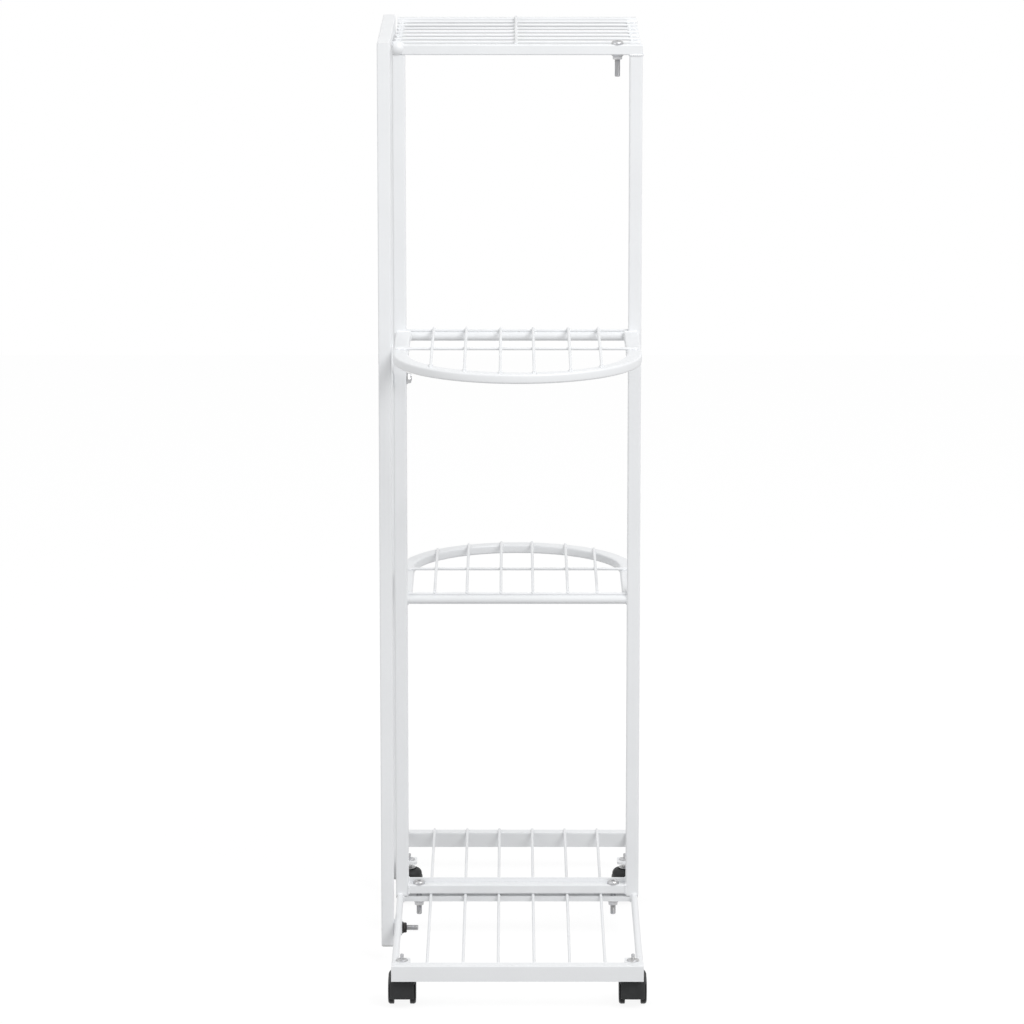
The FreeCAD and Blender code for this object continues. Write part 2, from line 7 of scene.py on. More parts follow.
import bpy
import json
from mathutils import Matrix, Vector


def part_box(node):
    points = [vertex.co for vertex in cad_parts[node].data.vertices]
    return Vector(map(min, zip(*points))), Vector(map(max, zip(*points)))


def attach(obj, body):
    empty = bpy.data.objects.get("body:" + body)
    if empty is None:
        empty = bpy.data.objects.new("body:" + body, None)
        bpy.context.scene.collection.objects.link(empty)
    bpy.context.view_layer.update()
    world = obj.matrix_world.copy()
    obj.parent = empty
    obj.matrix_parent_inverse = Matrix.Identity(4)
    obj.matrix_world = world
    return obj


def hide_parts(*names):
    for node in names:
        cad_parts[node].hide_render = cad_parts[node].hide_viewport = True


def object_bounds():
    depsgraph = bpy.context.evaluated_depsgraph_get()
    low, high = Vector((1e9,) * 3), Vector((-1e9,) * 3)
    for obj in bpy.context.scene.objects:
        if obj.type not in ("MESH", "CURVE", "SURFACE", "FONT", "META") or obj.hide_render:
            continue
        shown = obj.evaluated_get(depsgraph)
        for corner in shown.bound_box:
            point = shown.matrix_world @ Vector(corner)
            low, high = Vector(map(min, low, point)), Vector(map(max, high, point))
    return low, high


bl_info = {
    "name": "Flower cart stand",
    "version": (1, 0, 0),
    "blender": (4, 5, 0),
    "location": "3D View > Sidebar > Flower cart",
    "description": "Powder coat, weld beads, screws and casters of a white wire plant cart",
    "category": "Object",
}

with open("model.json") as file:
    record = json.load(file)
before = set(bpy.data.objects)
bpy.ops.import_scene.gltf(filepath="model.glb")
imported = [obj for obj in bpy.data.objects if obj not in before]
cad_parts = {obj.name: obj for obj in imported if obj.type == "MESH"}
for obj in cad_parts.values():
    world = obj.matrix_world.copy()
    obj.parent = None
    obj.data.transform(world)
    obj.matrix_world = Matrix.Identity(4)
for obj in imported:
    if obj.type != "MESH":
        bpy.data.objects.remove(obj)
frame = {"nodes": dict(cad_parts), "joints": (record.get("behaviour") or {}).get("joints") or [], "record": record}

import json
import math

import bmesh
import bpy
import numpy as np
from bpy.props import FloatProperty, FloatVectorProperty, IntProperty, PointerProperty
from mathutils import Euler, Vector

CAD_BOUNDS = [list(v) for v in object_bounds()]
MM = 0.001
X, Y, Z = np.eye(3)
TURN = 2 * math.pi

# ------------------------------------------------------------------ places read from the frame


def corners(node):
    """Lowest and highest corner of a node as arrays."""
    lo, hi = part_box(node)
    return np.array(lo), np.array(hi)


def middle(node):
    lo, hi = corners(node)
    return (lo + hi) / 2


# the wires that run from the near side to the far side, across the cart from its middle line
CENTRE_X = float(middle("base_front_angle")[0])
WIRES_BASE = CENTRE_X + MM * np.array([-77.0, -46.3, -16.4, 14.2, 44.6, 74.7])
WIRES_TRAY = CENTRE_X + MM * np.array([-72.8, -44.4, -14.4, 13.8, 44.5, 70.5])
CASTERS = ("fl", "fr", "rl", "rr")
HOOP_WIDTH, HOOP_HEIGHT = 0.013, 0.008
HOOP_ROUND = 0.0018
HOOP_END_WELDS = (0.0114, 0.0066)   # from the hoop's outer edge, under each depth wire
HOOP_SIDE_WELDS = (0.0095, 0.0045)  # the same under the middle cross wire
TRAY_MID = 0.0925                   # from the posts' face to the tray's middle cross wire
SHELF_WIRES = 7
WIRE_R = 0.00125
ROD_END_Z, LUG_WELD_Z = 0.0385, 0.0350

# the floor's colour in the light that it sends back to the cart, and its strength in view, a
# little over white to make up for the shadow mix
FLOOR_GREY = 0.5
FLOOR_WHITE = 1.03

# M5 hardware: shank, button head, countersunk head, hexagon socket and flange nut
SHANK_R = 0.0025
BUTTON_R, BUTTON_H = 0.00525, 0.003
SUNK_R, SUNK_H = 0.0049, 0.0024
SOCKET = 0.003
NUT_FLATS, NUT_H = 0.008, 0.004
NUT_FLANGE_R, NUT_FLANGE_H = 0.0053, 0.001


# ------------------------------------------------------------------ settings


class CartFinish(bpy.types.PropertyGroup):
    """Colours and surface of the cart's materials."""

    coat: FloatVectorProperty(
        name="Coat colour", description="White powder coat", subtype="COLOR", size=3,
        min=0, max=1, default=(0.855, 0.867, 0.882))
    coat_roughness: FloatProperty(
        name="Coat roughness", description="Satin of the powder coat", subtype="FACTOR",
        min=0, max=1, default=0.36)
    peel: FloatProperty(
        name="Orange peel", description="Width of the coat's fine ripples", subtype="DISTANCE",
        min=0.0002, max=0.01, default=0.0014)
    zinc: FloatVectorProperty(
        name="Zinc colour", description="Plated screws and nuts", subtype="COLOR", size=3,
        min=0, max=1, default=(0.52, 0.525, 0.55))
    hood: FloatVectorProperty(
        name="Hood colour", description="Grained caster hoods", subtype="COLOR", size=3,
        min=0, max=1, default=(0.032, 0.033, 0.034))
    wheel: FloatVectorProperty(
        name="Wheel colour", description="Smooth caster wheels", subtype="COLOR", size=3,
        min=0, max=1, default=(0.008, 0.008, 0.009))
    plug: FloatVectorProperty(
        name="Plug colour", description="Plastic plugs in the tube ends", subtype="COLOR", size=3,
        min=0, max=1, default=(0.72, 0.73, 0.73))


class CartShapes(bpy.types.PropertyGroup):
    """Sizes of the small shapes that are added to the frame."""

    bead: FloatProperty(
        name="Weld bead", description="Radius of the weld beads", subtype="DISTANCE",
        min=0.0002, max=0.003, default=0.0009)
    ripple: FloatProperty(
        name="Weld ripple", description="Pitch of the ripples along a bead", subtype="DISTANCE",
        min=0.0005, max=0.005, default=0.0016)
    pitch_m5: FloatProperty(
        name="M5 pitch", description="Thread pitch of the screws", subtype="DISTANCE",
        min=0.0003, max=0.002, default=0.0008)
    spokes: IntProperty(
        name="Wheel dimples", description="Shallow dimples in each wheel's face",
        min=0, max=12, default=6)


class CartStage(bpy.types.PropertyGroup):
    """Light, floor and camera."""

    sky: FloatProperty(
        name="Sky", description="Strength of the even light all round", min=0, max=2, default=0.62)
    key: FloatProperty(
        name="Key", description="Power of the large lamp at the upper right", subtype="POWER",
        unit="POWER", min=0, max=2000, default=58)
    fill: FloatProperty(
        name="Fill", description="Power of the lamp at the left", subtype="POWER",
        unit="POWER", min=0, max=2000, default=14)
    shadow: FloatProperty(
        name="Floor shadow", description="How much of the shadow shows on the white floor",
        subtype="FACTOR", min=0, max=1, default=0.12)
    lens: FloatProperty(
        name="Lens", description="Focal length", subtype="DISTANCE_CAMERA", min=20, max=400,
        default=178.19)
    tilt: FloatProperty(
        name="Tilt", description="Camera angle below the horizon", subtype="ANGLE",
        min=0, max=1.5, default=math.radians(11.76))
    place: FloatVectorProperty(
        name="Place", description="Camera position", subtype="TRANSLATION", unit="LENGTH",
        size=3, default=(-0.0003, -4.3626, 1.2963))


# ------------------------------------------------------------------ surfaces


def skin(rows, ring=False):
    """Closed shell over an array (rows, around, 3).

    Each row is a closed loop and quads join neighbouring rows. The end rows get a fan to their
    middle, unless the rows themselves close in a ring."""
    n, m = rows.shape[:2]
    i = np.arange(n if ring else n - 1)[:, None]
    j = np.arange(m)[None, :]
    i_next, j_next = (i + 1) % n, (j + 1) % m
    quads = np.stack([i * m + j, i * m + j_next, i_next * m + j_next, i_next * m + j], -1)
    points = rows.reshape(-1, 3)
    tris = np.zeros((0, 3), int)
    if not ring:
        points = np.concatenate([points, rows[:1].mean(1), rows[-1:].mean(1)])
        k = np.arange(m)
        k_next = (k + 1) % m
        last = (n - 1) * m
        first_fan = np.stack([np.full(m, n * m), k_next, k], -1)
        last_fan = np.stack([np.full(m, n * m + 1), last + k, last + k_next], -1)
        tris = np.concatenate([first_fan, last_fan])
    return points, quads.reshape(-1, 4), tris


def rounded_rect(width, height, radius, steps=5):
    """Closed section: a rectangle whose corners are quarter circles."""
    angle = np.arange(4)[:, None] * math.pi / 2 + np.linspace(0, math.pi / 2, steps + 1)[None, :]
    side = np.array([1, -1, -1, 1])[:, None]
    top = np.array([1, 1, -1, -1])[:, None]
    across = side * (width / 2 - radius) + radius * np.cos(angle)
    up = top * (height / 2 - radius) + radius * np.sin(angle)
    return np.stack([across.ravel(), up.ravel()], -1)


def circle(radius, count=16):
    """Closed section: a circle."""
    a = np.arange(count) * TURN / count
    return radius * np.stack([np.cos(a), np.sin(a)], -1)


def unit(v):
    return v / np.linalg.norm(v, axis=-1, keepdims=True)


def tangents(path, ring):
    if ring:
        return unit(np.roll(path, -1, 0) - np.roll(path, 1, 0))
    return unit(np.gradient(path, axis=0))


def sweep(path, section, up=Z, ring=False, grow=None):
    """A section carried along a path: point + across * s + over * t.

    across is at right angles to the path and to up, over is at right angles to both, and grow
    scales the section at each point."""
    along = tangents(path, ring)
    across = unit(np.cross(along, up))
    over = np.cross(across, along)
    s, t = section[None, :, :1], section[None, :, 1:]
    if grow is not None:
        s, t = s * grow[:, None, None], t * grow[:, None, None]
    return skin(path[:, None] + s * across[:, None] + t * over[:, None], ring)


def basis(axis):
    """Two unit vectors at right angles to an axis and to each other."""
    side = unit(np.cross(axis, Z if abs(axis[2]) < 0.9 else X))
    return side, np.cross(axis, side)


def revolve(radius, height, origin, axis, count=32):
    """Surface of revolution: at each height along the axis a loop of that radius.

    radius may be (rows,) for circles or (rows, count) for loops that vary with the angle."""
    side, over = basis(axis)
    a = np.arange(count) * TURN / count
    r = np.broadcast_to(np.reshape(radius, (len(height), -1)), (len(height), count))
    h = np.broadcast_to(np.reshape(height, (len(height), -1)), (len(height), count))
    return (origin + r[..., None] * (np.cos(a)[:, None] * side + np.sin(a)[:, None] * over)
            + h[..., None] * axis)


def hexagon(across_flats, count=48):
    """Radius of a hexagon at each of count angles: half the flats over the cosine from a flat."""
    a = (np.arange(count) * TURN / count) % (math.pi / 3) - math.pi / 6
    return across_flats / 2 / np.cos(a)


def spaced(loop, step):
    """A closed flat outline laid out again at an even spacing near step."""
    closed = np.concatenate([loop, loop[:1]])
    run = np.concatenate([[0], np.cumsum(np.linalg.norm(np.diff(closed, axis=0), axis=1))])
    count = max(12, int(run[-1] / step))
    at = np.linspace(0, run[-1], count, endpoint=False)
    return np.stack([np.interp(at, run, closed[:, k]) for k in (0, 1)], -1), run[-1]


def bead(centre, normal, size_a, size_b, round_off, radius, ripple):
    """Weld bead round a tube end: a circle carried round the tube's outline.

    Its radius is radius * (1 + 0.18 sin) with a whole number of ripples round the outline."""
    side, over = basis(normal)
    loop, length = spaced(rounded_rect(size_a, size_b, round_off, 6), ripple / 5)
    waves = max(6, round(length / ripple))
    turn = np.arange(len(loop)) * TURN / len(loop)
    path = centre + loop[:, :1] * side + loop[:, 1:] * over
    grow = 1 + 0.18 * np.sin(waves * turn)
    return sweep(path, circle(radius, 8), normal, True, grow)


def nugget(centre, reach, rows=7, count=12):
    """Spot weld: an ellipsoid with the three half sizes in reach."""
    tilt = np.linspace(-math.pi / 2, math.pi / 2, rows + 2)[1:-1, None]
    a = (np.arange(count) * TURN / count)[None, :]
    ball = np.stack([np.cos(tilt) * np.cos(a), np.cos(tilt) * np.sin(a),
                     np.sin(tilt) + 0 * a], -1)
    return skin(centre + ball * reach)


def thread(major, pitch, start, length, count=24):
    """Radius and height of a screw thread from its tip.

    The radius swings by 0.6 pitch on a triangle wave of height / pitch - angle / turn, and
    shrinks over the last half pitch to a chamfer."""
    rows = int(length / pitch * 8) + 1
    h = np.linspace(0, length, rows)[:, None]
    wave = np.abs(2 * ((h / pitch - np.arange(count)[None, :] / count) % 1) - 1)
    r = major - 0.6 * pitch * wave
    r = np.minimum(r, major - 0.7 * pitch + h)
    return r, start + h + 0 * r


def button_screw(seat, axis, length, pitch):
    """Button head screw: thread below the seat, a domed head above it, a hexagon socket.

    axis points from the seat out of the head; the dome's radius follows a quarter ellipse."""
    count = 48
    r, h = thread(SHANK_R, pitch, -length, length, count)
    dome = np.linspace(0, 1, 7)
    dome_r = BUTTON_R * (0.62 + 0.38 * np.sqrt(1 - dome**2))
    dome_h = BUTTON_H * (0.28 + 0.72 * dome)
    hexa = hexagon(SOCKET, count)
    rr = [r, np.broadcast_to(BUTTON_R, (1, count)), np.repeat(dome_r[:, None], count, 1),
          hexa[None] * 1.08, hexa[None], hexa[None], hexa[None] * 0.3]
    hh = [h, np.zeros((1, count)), np.repeat(dome_h[:, None], count, 1),
          np.full((1, count), BUTTON_H), np.full((1, count), BUTTON_H - 0.00015),
          np.full((1, count), BUTTON_H * 0.42), np.full((1, count), BUTTON_H * 0.34)]
    return skin(revolve(np.concatenate(rr), np.concatenate(hh), seat, axis, count))


def flat_screw(face, axis, length, pitch):
    """Countersunk screw: thread, a cone up to the face, a hexagon socket in a flat head."""
    count = 48
    r, h = thread(SHANK_R, pitch, -length, length - SUNK_H, count)
    hexa = hexagon(SOCKET, count)
    ring = np.ones((1, count))
    rr = [r, ring * SUNK_R, ring * SUNK_R, ring * (SUNK_R - 0.0003),
          hexa[None] * 1.08, hexa[None], hexa[None], hexa[None] * 0.3]
    hh = [h, ring * -0.0003, ring * -0.0001, ring * 0.00002, ring * 0.00002,
          ring * -0.0001, ring * -0.0017, ring * -0.0019]
    return skin(revolve(np.concatenate(rr), np.concatenate(hh), face, axis, count))


def flange_nut(seat, axis):
    """Flange nut: a washer face with fine teeth, a cone up to a hexagon, a chamfered top.

    The top loops are the smaller of the hexagon and a shrinking circle."""
    count = 48
    ring = np.ones((1, count))
    hexa = hexagon(NUT_FLATS, count)[None]
    teeth = 1 + 0.012 * np.cos(24 * np.arange(count) * TURN / count)[None]
    tip, bore = NUT_FLATS / math.sqrt(3), SHANK_R
    loops = [(ring * bore, 0), (ring * (bore + 0.0004), 0), (ring * NUT_FLANGE_R * 0.96 * teeth, 0),
             (ring * NUT_FLANGE_R, 0.00015), (ring * NUT_FLANGE_R, NUT_FLANGE_H * 0.6),
             (hexa * 1.03, NUT_FLANGE_H + 0.0004), (hexa, NUT_FLANGE_H + 0.0006),
             (np.minimum(hexa, tip * 1.01), NUT_H - 0.0009),
             (np.minimum(hexa, tip * 0.95), NUT_H - 0.0005),
             (np.minimum(hexa, tip * 0.88), NUT_H - 0.0001),
             (ring * tip * 0.80, NUT_H), (ring * (bore + 0.0005), NUT_H),
             (ring * bore, NUT_H - 0.0005)]
    rr = np.concatenate([r for r, _ in loops])
    hh = np.concatenate([ring * h for _, h in loops])
    return skin(revolve(rr, hh, seat, axis, count), ring=True)


def add_piece(name, shells, material, body, replaced=(), sharp=38.0):
    """One mesh object from closed shells, riding on a body."""
    starts = np.cumsum([0] + [len(p) for p, _, _ in shells])
    points = np.concatenate([p for p, _, _ in shells])
    faces = []
    for start, (_, quads, tris) in zip(starts, shells):
        faces += (quads + start).tolist() + (tris + start).tolist()
    mesh = bpy.data.meshes.new(name)
    mesh.from_pydata(points.tolist(), [], faces)
    work = bmesh.new()
    work.from_mesh(mesh)
    bmesh.ops.recalc_face_normals(work, faces=work.faces)
    work.to_mesh(mesh)
    work.free()
    mesh.polygons.foreach_set("use_smooth", np.ones(len(mesh.polygons), bool))
    mesh.set_sharp_from_angle(angle=math.radians(sharp))
    mesh.materials.append(material)
    piece = bpy.data.objects.new(name, mesh)
    bpy.context.scene.collection.objects.link(piece)
    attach(piece, body)
    if replaced:
        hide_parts(*replaced)
    return piece


# ------------------------------------------------------------------ materials


def new_material(name):
    """The named material and its Principled shader, or no shader if it was there already."""
    mat = bpy.data.materials.get(name)
    if mat:
        return mat, None
    mat = bpy.data.materials.new(name)
    mat.use_nodes = True
    return mat, mat.node_tree.nodes["Principled BSDF"]


def node(tree, kind, **values):
    """A shader node with its sockets or settings set by name."""
    made = tree.nodes.new(kind)
    for key, value in values.items():
        if key in made.inputs:
            made.inputs[key].default_value = value
        else:
            setattr(made, key, value)
    return made


def noise(tree, size, detail=3.0):
    """Noise on Object coordinates whose features are about size metres wide."""
    place = node(tree, "ShaderNodeTexCoord")
    cloud = node(tree, "ShaderNodeTexNoise", Scale=1 / size, Detail=detail)
    tree.links.new(place.outputs["Object"], cloud.inputs["Vector"])
    return cloud.outputs["Fac"]


def spread(tree, source, low, high):
    """source from 0.3..0.7 spread onto low..high."""
    ramp = node(tree, "ShaderNodeMapRange")
    for key, value in (("From Min", 0.3), ("From Max", 0.7), ("To Min", low), ("To Max", high)):
        ramp.inputs[key].default_value = value
    tree.links.new(source, ramp.inputs["Value"])
    return ramp.outputs["Result"]


def tint(tree, source, dark, light):
    """A colour between dark and light as source goes from 0.3 to 0.7."""
    ramp = node(tree, "ShaderNodeValToRGB")
    ramp.color_ramp.elements[0].position = 0.3
    ramp.color_ramp.elements[1].position = 0.7
    ramp.color_ramp.elements[0].color = (*dark, 1)
    ramp.color_ramp.elements[1].color = (*light, 1)
    tree.links.new(source, ramp.inputs["Fac"])
    return ramp.outputs["Color"]


def shade(colour, factor):
    return tuple(min(1.0, c * factor) for c in colour)


def bump(tree, shader, *layers):
    """Bump from (height source, depth in metres) layers stacked on one another."""
    below = None
    for source, depth in layers:
        lift = node(tree, "ShaderNodeBump", Strength=1.0, Distance=depth)
        tree.links.new(source, lift.inputs["Height"])
        if below:
            tree.links.new(below, lift.inputs["Normal"])
        below = lift.outputs["Normal"]
    tree.links.new(below, shader.inputs["Normal"])


def coat_material():
    """White powder coat: orange peel, a faint film thickness change and a satin sheen."""
    finish = bpy.context.scene.cart_finish
    mat, shader = new_material("white_powder_coat")
    if shader:
        tree = mat.node_tree
        cloud = noise(tree, 0.05)
        colour = tint(tree, cloud, shade(finish.coat, 0.985), shade(finish.coat, 1.012))
        tree.links.new(colour, shader.inputs["Base Color"])
        rough = spread(tree, noise(tree, 0.012), finish.coat_roughness - 0.04,
                       finish.coat_roughness + 0.05)
        tree.links.new(rough, shader.inputs["Roughness"])
        bump(tree, shader, (noise(tree, finish.peel, 2.0), 0.00003),
             (noise(tree, finish.peel * 6, 1.0), 0.00006))
    return mat


def zinc_material():
    """Bright zinc plate: drawn marks, a faint blue and straw change, soft highlights."""
    finish = bpy.context.scene.cart_finish
    mat, shader = new_material("zinc_plate")
    if shader:
        tree = mat.node_tree
        shader.inputs["Metallic"].default_value = 1.0
        straw = (finish.zinc[0], finish.zinc[1] * 0.985, finish.zinc[2] * 0.93)
        colour = tint(tree, noise(tree, 0.004), straw, tuple(finish.zinc))
        tree.links.new(colour, shader.inputs["Base Color"])
        tree.links.new(spread(tree, noise(tree, 0.0012), 0.28, 0.42), shader.inputs["Roughness"])
        bump(tree, shader, (noise(tree, 0.0005, 4.0), 0.00002))
    return mat


def painted_shade_nut_material():
    """Painted shade and dark reflection on the lower panel nut: steel coloured near black, with brown flecks and a
    dull oiled sheen.
    """
    mat, shader = new_material("painted_shade_nut")
    if shader:
        tree = mat.node_tree
        shader.inputs["Metallic"].default_value = 0.6
        # near black colour that paints the shade and dark reflection the lower nut sits in
        colour = tint(tree, noise(tree, 0.002), (0.012, 0.011, 0.010), (0.03, 0.028, 0.026))
        tree.links.new(colour, shader.inputs["Base Color"])
        tree.links.new(spread(tree, noise(tree, 0.001), 0.42, 0.58), shader.inputs["Roughness"])
        bump(tree, shader, (noise(tree, 0.0005, 4.0), 0.00002))
    return mat


def plastic_material(name, colour, roughness, grain, depth, gloss=0.5):
    """Moulded plastic: a fine spark-eroded grain and slight change in gloss."""
    mat, shader = new_material(name)
    if shader:
        tree = mat.node_tree
        shader.inputs["Specular IOR Level"].default_value = gloss
        colour = tint(tree, noise(tree, 0.008), shade(colour, 0.9), shade(colour, 1.1))
        tree.links.new(colour, shader.inputs["Base Color"])
        tree.links.new(spread(tree, noise(tree, 0.003), roughness - 0.05, roughness + 0.07),
                       shader.inputs["Roughness"])
        bump(tree, shader, (noise(tree, grain, 3.0), depth))
    return mat


def hood_material():
    colour = bpy.context.scene.cart_finish.hood
    return plastic_material("grained_hood_plastic", colour, 0.5, 0.0006, 0.00004, 0.2)


def wheel_material():
    colour = bpy.context.scene.cart_finish.wheel
    return plastic_material("smooth_wheel_plastic", colour, 0.34, 0.002, 0.00002, 0.14)


def plug_material():
    colour = bpy.context.scene.cart_finish.plug
    return plastic_material("white_plug_plastic", colour, 0.5, 0.0008, 0.00003)


# ------------------------------------------------------------------ operators


class CART_OT_stage(bpy.types.Operator):
    """Set up the white floor, the soft light and the camera"""

    bl_idname = "cart.stage"
    bl_label = "Stage"

    def execute(self, context):
        stage = context.scene.cart_stage
        context.scene.view_settings.view_transform = "Standard"
        self.world(context, stage)
        self.floor(context, stage)
        lo, hi = (np.array(v) for v in CAD_BOUNDS)
        aim = Vector((lo + hi) / 2)
        self.lamp(context, "key", stage.key, 1.6, aim, Vector((1.5, -1.9, 2.4)))
        self.lamp(context, "fill", stage.fill, 2.0, aim, Vector((-2.4, -1.6, 1.0)))
        eye = bpy.data.cameras.new("camera")
        eye.sensor_width = 36.0
        eye.lens = stage.lens
        eye.clip_end = 50.0
        camera = bpy.data.objects.new("camera", eye)
        camera.location = stage.place
        camera.rotation_euler = Euler((math.pi / 2 - stage.tilt, 0, 0))
        context.scene.collection.objects.link(camera)
        context.scene.camera = camera
        return {"FINISHED"}

    def seen(self, tree):
        """1 for camera, glossy and transmission rays, else 0."""
        path = node(tree, "ShaderNodeLightPath")
        first = node(tree, "ShaderNodeMath", operation="MAXIMUM")
        second = node(tree, "ShaderNodeMath", operation="MAXIMUM")
        tree.links.new(path.outputs["Is Camera Ray"], first.inputs[0])
        tree.links.new(path.outputs["Is Glossy Ray"], first.inputs[1])
        tree.links.new(first.outputs[0], second.inputs[0])
        tree.links.new(path.outputs["Is Transmission Ray"], second.inputs[1])
        return second.outputs[0]

    def world(self, context, stage):
        world = bpy.data.worlds.new("studio")
        context.scene.world = world
        world.use_nodes = True
        tree = world.node_tree
        light = tree.nodes["Background"]
        light.inputs["Color"].default_value = (1, 1, 1, 1)
        light.inputs["Strength"].default_value = stage.sky
        white = node(tree, "ShaderNodeBackground", Strength=1.0)
        white.inputs["Color"].default_value = (1, 1, 1, 1)
        mix = node(tree, "ShaderNodeMixShader")
        tree.links.new(self.seen(tree), mix.inputs[0])
        tree.links.new(light.outputs[0], mix.inputs[1])
        tree.links.new(white.outputs[0], mix.inputs[2])
        tree.links.new(mix.outputs[0], tree.nodes["World Output"].inputs["Surface"])

    def floor(self, context, stage):
        half = 3.0
        mesh = bpy.data.meshes.new("floor")
        mesh.from_pydata([(-half, -half, 0), (half, -half, 0), (half, half, 0), (-half, half, 0)],
                         [], [(0, 1, 2, 3)])
        mat, shader = new_material("white_floor")
        tree = mat.node_tree
        shader.inputs["Base Color"].default_value = (FLOOR_GREY,) * 3 + (1,)
        shader.inputs["Roughness"].default_value = 0.9
        shader.inputs["Specular IOR Level"].default_value = 0.0
        paper = node(tree, "ShaderNodeBsdfDiffuse")
        paper.inputs["Color"].default_value = (1, 1, 1, 1)
        glow = node(tree, "ShaderNodeEmission", Strength=FLOOR_WHITE)
        shown = node(tree, "ShaderNodeMixShader")
        shown.inputs[0].default_value = stage.shadow
        tree.links.new(glow.outputs[0], shown.inputs[1])
        tree.links.new(paper.outputs[0], shown.inputs[2])
        mix = node(tree, "ShaderNodeMixShader")
        tree.links.new(self.seen(tree), mix.inputs[0])
        tree.links.new(shader.outputs[0], mix.inputs[1])
        tree.links.new(shown.outputs[0], mix.inputs[2])
        tree.links.new(mix.outputs[0], tree.nodes["Material Output"].inputs["Surface"])
        mesh.materials.append(mat)
        floor = bpy.data.objects.new("floor", mesh)
        context.scene.collection.objects.link(floor)

    def lamp(self, context, name, power, size, aim, place):
        light = bpy.data.lights.new(name, "AREA")
        light.energy = power
        light.size = size
        lamp = bpy.data.objects.new(name, light)
        lamp.location = aim + place
        lamp.rotation_mode = "QUATERNION"
        lamp.rotation_quaternion = (-place).to_track_quat("-Z", "Y")
        context.scene.collection.objects.link(lamp)


class CART_OT_paint(bpy.types.Operator):
    """Give every node of the frame its finish"""

    bl_idname = "cart.paint"
    bl_label = "Paint the frame"

    def execute(self, context):
        finishes = {"white_coat": coat_material(), "zinc": zinc_material(),
                    "plug_plastic": plug_material(), "hood_plastic": hood_material(),
                    "wheel_plastic": wheel_material()}
        slots = {s["node"]: s["material_slot"] for s in frame["record"]["subparts"]}
        for name, cad in frame["nodes"].items():
            for slot in cad.material_slots:
                slot.material = finishes[slots[name]]
        return {"FINISHED"}


class CART_OT_hoops(bpy.types.Operator):
    """Bend the two D shaped tray tubes"""

    bl_idname = "cart.hoops"
    bl_label = "Tray hoops"

    def execute(self, context):
        for tier, reach_sign in (("tier2", 1), ("tier3", -1)):
            lo, hi = corners(tier + "_hoop")
            add_piece(tier + "_bent_hoop", [self.hoop(lo, hi, reach_sign)], coat_material(),
                      "frame", [tier + "_hoop"])
        return {"FINISHED"}

    def hoop(self, lo, hi, sign):
        """A rounded tube carried along two straight sides and a half circle between them."""
        radius = (hi[0] - lo[0] - HOOP_WIDTH) / 2
        straight = (hi[1] - lo[1]) - radius - HOOP_WIDTH / 2
        start = lo[1] if sign > 0 else hi[1]
        a = np.linspace(0, math.pi, 97)
        side = np.linspace(0, straight, 8)[:-1]
        x = np.concatenate([np.full(7, -radius), -radius * np.cos(a), np.full(7, radius)])
        y = np.concatenate([side, straight + radius * np.sin(a), side[::-1]])
        middle_x, middle_z = (lo[0] + hi[0]) / 2, (lo[2] + hi[2]) / 2
        path = np.stack([middle_x + x, start + sign * y, np.full(len(x), middle_z)], -1)
        return sweep(path, rounded_rect(HOOP_WIDTH, HOOP_HEIGHT, HOOP_ROUND, 6))


class CART_OT_welds(bpy.types.Operator):
    """Run the weld beads round the tube ends"""

    bl_idname = "cart.welds"
    bl_label = "Weld beads"

    def execute(self, context):
        self.shapes = context.scene.cart_shapes
        beads = []
        for name, axis, round_off in (
                ("foot_crossbar", 0, 0.0012), ("foot_stiffener", 0, 0.0006),
                ("tier2_back_bar", 0, 0.0039), ("tier3_back_bar", 0, 0.0039),
                ("shelf_right_rail", 1, 0.0012), ("panel_mid_rail", 1, 0.0013),
                ("base_cross_strip", 0, 0.0006)):
            beads += [self.end(name, axis, 0, round_off), self.end(name, axis, 1, round_off)]
        beads.append(self.end("shelf_left_rail", 1, 1, 0.0031))
        beads.append(self.end("post_right", 2, 1, 0.0015))
        for tier, end in (("tier2", 0), ("tier3", 1)):
            lo, hi = corners(tier + "_hoop")
            y = lo[1] if end == 0 else hi[1]
            for x in (lo[0] + HOOP_WIDTH / 2, hi[0] - HOOP_WIDTH / 2):
                centre = np.array([x, y, (lo[2] + hi[2]) / 2])
                beads.append(self.ring(centre, Y, HOOP_WIDTH, HOOP_HEIGHT, HOOP_ROUND))
        # ground flush on the outer face of the side panel
        flush = CAD_BOUNDS[0][0] + 0.0001
        for points, _, _ in beads:
            points[:, 0] = np.maximum(points[:, 0], flush)
        add_piece("weld_beads", beads, coat_material(), "frame")
        return {"FINISHED"}

    def end(self, name, axis, which, round_off):
        """Bead round one end of a straight tube, its size from the node's own box."""
        ends = corners(name)
        centre = (ends[0] + ends[1]) / 2
        centre[axis] = ends[which][axis]
        normal = np.eye(3)[axis]
        size = ends[1] - ends[0]
        side, over = basis(normal)
        return self.ring(centre, normal, abs(size @ side), abs(size @ over), round_off)

    def ring(self, centre, normal, size_a, size_b, round_off):
        return bead(centre, normal, size_a, size_b, round_off, self.shapes.bead,
                    self.shapes.ripple)


